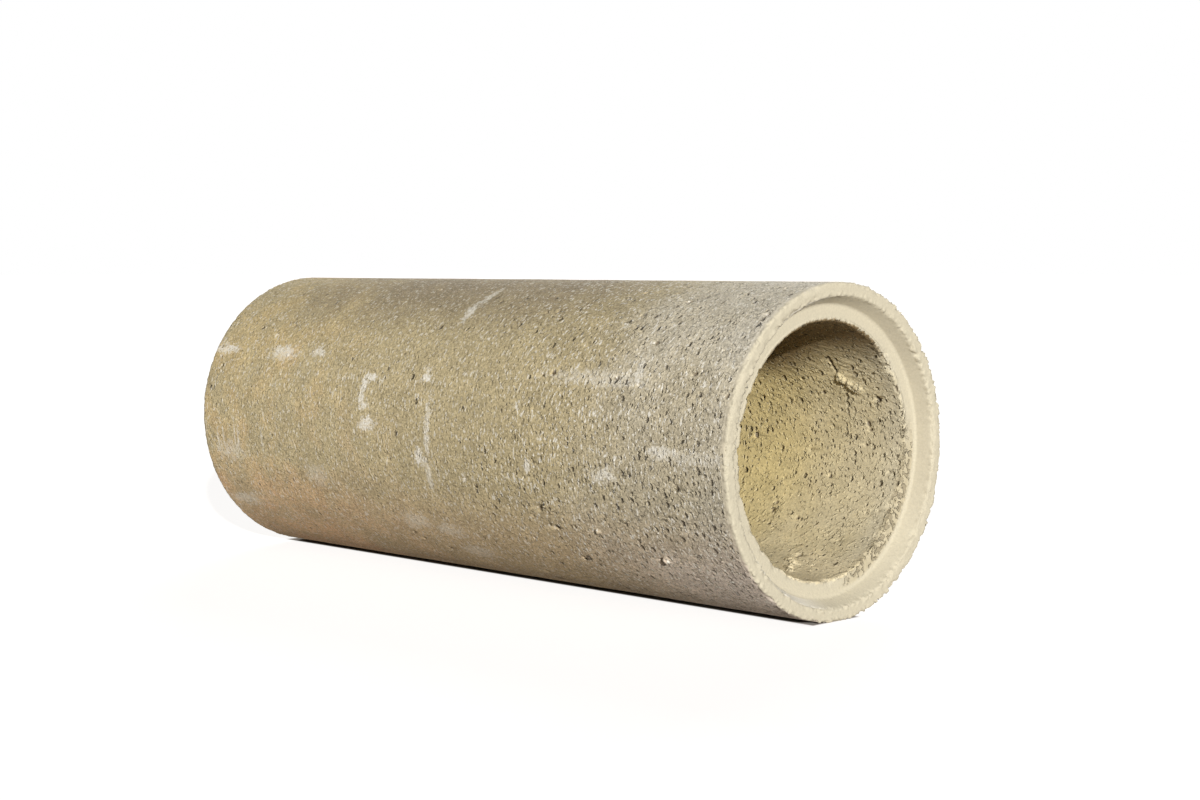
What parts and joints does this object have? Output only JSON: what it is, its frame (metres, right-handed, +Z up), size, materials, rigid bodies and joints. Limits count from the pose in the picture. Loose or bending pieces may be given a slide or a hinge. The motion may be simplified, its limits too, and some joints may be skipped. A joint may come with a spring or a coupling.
{
  "type": "concrete sewer pipe",
  "caption": "Straight one-piece concrete sewer pipe with a plain round barrel, a flared groove socket inside one end and a matching tapered spigot tongue on the other.",
  "frame": {"origin": "on the floor, under the middle of the pipe's overall length", "axes": "+X along the pipe towards the socket end, +Z up, the pipe's axis level and 195 mm above the floor"},
  "size_m": [1.017, 0.39, 0.39],
  "materials": {
    "concrete": "rough sandy precast concrete, sand-beige to grey, pitted with small air voids, paler on the end faces, with chalky smears"
  },
  "bodies": {
    "root": {"concrete_pipe": "concrete"}
  },
  "joints": []
}
